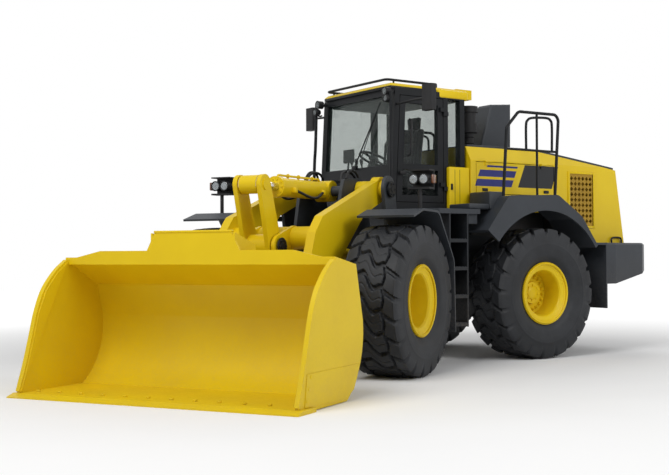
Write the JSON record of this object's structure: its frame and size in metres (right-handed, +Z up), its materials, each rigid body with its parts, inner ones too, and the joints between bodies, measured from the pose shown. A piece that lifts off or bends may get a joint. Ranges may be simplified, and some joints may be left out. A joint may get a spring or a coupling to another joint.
{
  "type": "wheel loader",
  "caption": "Articulated wheel loader with a Z-bar bucket linkage, glazed cab over the steering hinge, louvred engine hood and a rear counterweight.",
  "frame": {"origin": "on the ground under the steering hinge", "axes": "+X forward along the rear half, +Y to the left, +Z up; the front half is steered 29.4 degrees to the left at rest"},
  "size_m": [9.0243, 5.2268, 3.531],
  "materials": {
    "yellow_paint": "gloss yellow paint",
    "charcoal_paint": "satin charcoal paint",
    "black_paint": "satin black paint",
    "engine_iron": "dark painted casting",
    "tyre_rubber": "matt rubber",
    "chrome_rod": "polished hard chrome",
    "pin_steel": "machined or worn steel",
    "cab_glass": "lightly green tinted glass",
    "black_plastic": "moulded black plastic",
    "seat_fabric": "dark woven seat cloth",
    "red_lens": "red lens"
  },
  "bodies": {
    "rear_frame": {"rear_frame": "charcoal_paint", "rear_axle": "charcoal_paint", "engine_block": "engine_iron", "deck": "charcoal_paint", "side_boxes": "charcoal_paint", "steps": "charcoal_paint", "rear_fenders": "charcoal_paint", "counterweight": "charcoal_paint", "hood": "yellow_paint", "side_grilles": "black_paint", "hood_cover": "charcoal_paint", "exhaust_stack": "charcoal_paint", "pre_cleaner": "black_plastic", "cab": "black_paint", "cab_glass": "cab_glass", "roof": "yellow_paint", "roof_rail": "black_paint", "mirrors": "black_plastic", "work_lamps": "black_plastic", "seat_base": "black_paint", "seat": "seat_fabric", "steering_column": "black_plastic", "handrails": "black_paint", "tail_lamps": "red_lens"},
    "front_frame": {"front_frame": "charcoal_paint", "front_axle": "charcoal_paint", "front_fenders": "charcoal_paint", "head_lamps": "black_plastic"},
    "wheel_front_left": {"tyre_front_left": "tyre_rubber", "rim_front_left": "yellow_paint"},
    "wheel_front_right": {"tyre_front_right": "tyre_rubber", "rim_front_right": "yellow_paint"},
    "wheel_rear_left": {"tyre_rear_left": "tyre_rubber", "rim_rear_left": "yellow_paint"},
    "wheel_rear_right": {"tyre_rear_right": "tyre_rubber", "rim_rear_right": "yellow_paint"},
    "tilt_lever": {"tilt_lever": "yellow_paint"},
    "bucket_link": {"bucket_link": "yellow_paint"},
    "lift_barrels": {"lift_barrels": "yellow_paint"},
    "lift_rods": {"lift_rods": "chrome_rod"},
    "tilt_barrel": {"tilt_barrel": "yellow_paint"},
    "tilt_rod": {"tilt_rod": "chrome_rod"},
    "steer_barrel_left": {"steer_barrel_left": "charcoal_paint"},
    "steer_rod_left": {"steer_rod_left": "chrome_rod"},
    "steer_barrel_right": {"steer_barrel_right": "charcoal_paint"},
    "steer_rod_right": {"steer_rod_right": "chrome_rod"},
    "hood_door_left": {"hood_door_left": "yellow_paint"},
    "hood_door_right": {"hood_door_right": "yellow_paint"},
    "rear_grille": {"rear_grille": "black_paint"},
    "boom": {"boom": "yellow_paint", "lever_pin": "pin_steel"},
    "bucket": {"bucket": "yellow_paint", "cutting_edge": "yellow_paint", "bucket_pins": "pin_steel", "link_pin": "pin_steel"},
    "cab_door": {"cab_door": "black_paint", "door_glass": "cab_glass"}
  },
  "joints": [
    {"name": "steer", "type": "hinge", "parent": "rear_frame", "child": "front_frame", "pos_m": [0, 0, 0.838], "axis": [0, 0, 1], "range_deg": [-66.4, 7.6]},
    {"name": "wheel_front_left_spin", "type": "hinge", "parent": "front_frame", "child": "wheel_front_left", "pos_m": [0.9383, 1.84871, 0.838], "axis": [-0.4909, 0.8712, 0], "continuous": true},
    {"name": "wheel_front_right_spin", "type": "hinge", "parent": "front_frame", "child": "wheel_front_right", "pos_m": [2.06738, -0.15509, 0.838], "axis": [-0.4909, 0.8712, 0], "continuous": true},
    {"name": "wheel_rear_left_spin", "type": "hinge", "parent": "rear_frame", "child": "wheel_rear_left", "pos_m": [-1.725, 1.15, 0.838], "axis": [0, 1, 0], "continuous": true},
    {"name": "wheel_rear_right_spin", "type": "hinge", "parent": "rear_frame", "child": "wheel_rear_right", "pos_m": [-1.725, -1.15, 0.838], "axis": [0, 1, 0], "continuous": true},
    {"name": "boom_lift", "type": "hinge", "parent": "front_frame", "child": "boom", "pos_m": [0.85379, 0.48109, 2.12], "axis": [0.4909, -0.8712, 0], "range_deg": [0, 85]},
    {"name": "bucket_tilt", "type": "hinge", "parent": "boom", "child": "bucket", "pos_m": [2.87501, 1.61998, 0.43], "axis": [-0.4909, 0.8712, 0], "range_deg": [-38, 116]},
    {"name": "lever_swing", "type": "hinge", "parent": "boom", "child": "tilt_lever", "pos_m": [2.37841, 1.34017, 1.44], "axis": [-0.4909, 0.8712, 0], "range_deg": [-44.67, 14.97]},
    {"name": "link_swing", "type": "hinge", "parent": "bucket", "child": "bucket_link", "pos_m": [2.77917, 1.56598, 0.7], "axis": [-0.4909, 0.8712, 0], "range_deg": [-106.13, 35.1]},
    {"name": "tilt_barrel_swing", "type": "hinge", "parent": "front_frame", "child": "tilt_barrel", "pos_m": [1.09773, 0.61854, 2.1], "axis": [-0.4909, 0.8712, 0], "range_deg": [-95.03, 0.5]},
    {"name": "tilt_rod_slide", "type": "slide", "parent": "tilt_barrel", "child": "tilt_rod", "axis": [0.8712, 0.4909, -0.006], "range_m": [-0.2235, 0.0766]},
    {"name": "lift_barrel_swing", "type": "hinge", "parent": "front_frame", "child": "lift_barrels", "pos_m": [0.69697, 0.39272, 1.25], "axis": [-0.4909, 0.8712, 0], "range_deg": [-59.2, 0.5]},
    {"name": "lift_rod_slide", "type": "slide", "parent": "lift_barrels", "child": "lift_rods", "axis": [0.8663, 0.4881, 0.1065], "range_m": [-0.005, 0.9588]},
    {"name": "steer_barrel_left_swing", "type": "hinge", "parent": "rear_frame", "child": "steer_barrel_left", "pos_m": [-0.7, 0.45, 1.1], "axis": [0, 0, 1], "range_deg": [-27.89, 3.63]},
    {"name": "steer_rod_left_slide", "type": "slide", "parent": "steer_barrel_left", "child": "steer_rod_left", "axis": [0.9822, 0.1876, 0], "range_m": [-0.0649, 0.5287]},
    {"name": "steer_barrel_right_swing", "type": "hinge", "parent": "rear_frame", "child": "steer_barrel_right", "pos_m": [-0.7, -0.45, 1.1], "axis": [0, 0, 1], "range_deg": [-28.46, 3.7]},
    {"name": "steer_rod_right_slide", "type": "slide", "parent": "steer_barrel_right", "child": "steer_rod_right", "axis": [0.9719, 0.2356, 0], "range_m": [-0.4852, 0.06]},
    {"name": "cab_door_swing", "type": "hinge", "parent": "rear_frame", "child": "cab_door", "pos_m": [-0.57, 0.818, 2.6], "axis": [0, 0, 1], "range_deg": [0, 110]},
    {"name": "hood_door_left_lift", "type": "hinge", "parent": "rear_frame", "child": "hood_door_left", "pos_m": [-1.75, 0.886, 2.545], "axis": [1, 0, 0], "range_deg": [0, 60]},
    {"name": "hood_door_right_lift", "type": "hinge", "parent": "rear_frame", "child": "hood_door_right", "pos_m": [-1.75, -0.886, 2.545], "axis": [-1, 0, 0], "range_deg": [0, 60]},
    {"name": "rear_grille_swing", "type": "hinge", "parent": "rear_frame", "child": "rear_grille", "pos_m": [-3.78129, 0.64, 2.00952], "axis": [-0.1613, 0, -0.9869], "range_deg": [0, 100]}
  ],
  "couplings": [
    {"joint": "lever_swing", "follows": "bucket_tilt", "ratio": -0.38077},
    {"joint": "link_swing", "follows": "bucket_tilt", "ratio": -0.91059},
    {"joint": "tilt_barrel_swing", "follows": "boom_lift", "ratio": -1.1121},
    {"joint": "tilt_rod_slide", "follows": "bucket_tilt", "m_per_rad": -0.10794},
    {"joint": "lift_barrel_swing", "follows": "boom_lift", "ratio": -0.69063},
    {"joint": "lift_rod_slide", "follows": "boom_lift", "m_per_rad": 0.64293},
    {"joint": "steer_barrel_left_swing", "follows": "steer", "ratio": 0.41255},
    {"joint": "steer_rod_left_slide", "follows": "steer", "m_per_rad": -0.45186},
    {"joint": "steer_barrel_right_swing", "follows": "steer", "ratio": 0.42102},
    {"joint": "steer_rod_right_slide", "follows": "steer", "m_per_rad": 0.41439}
  ]
}
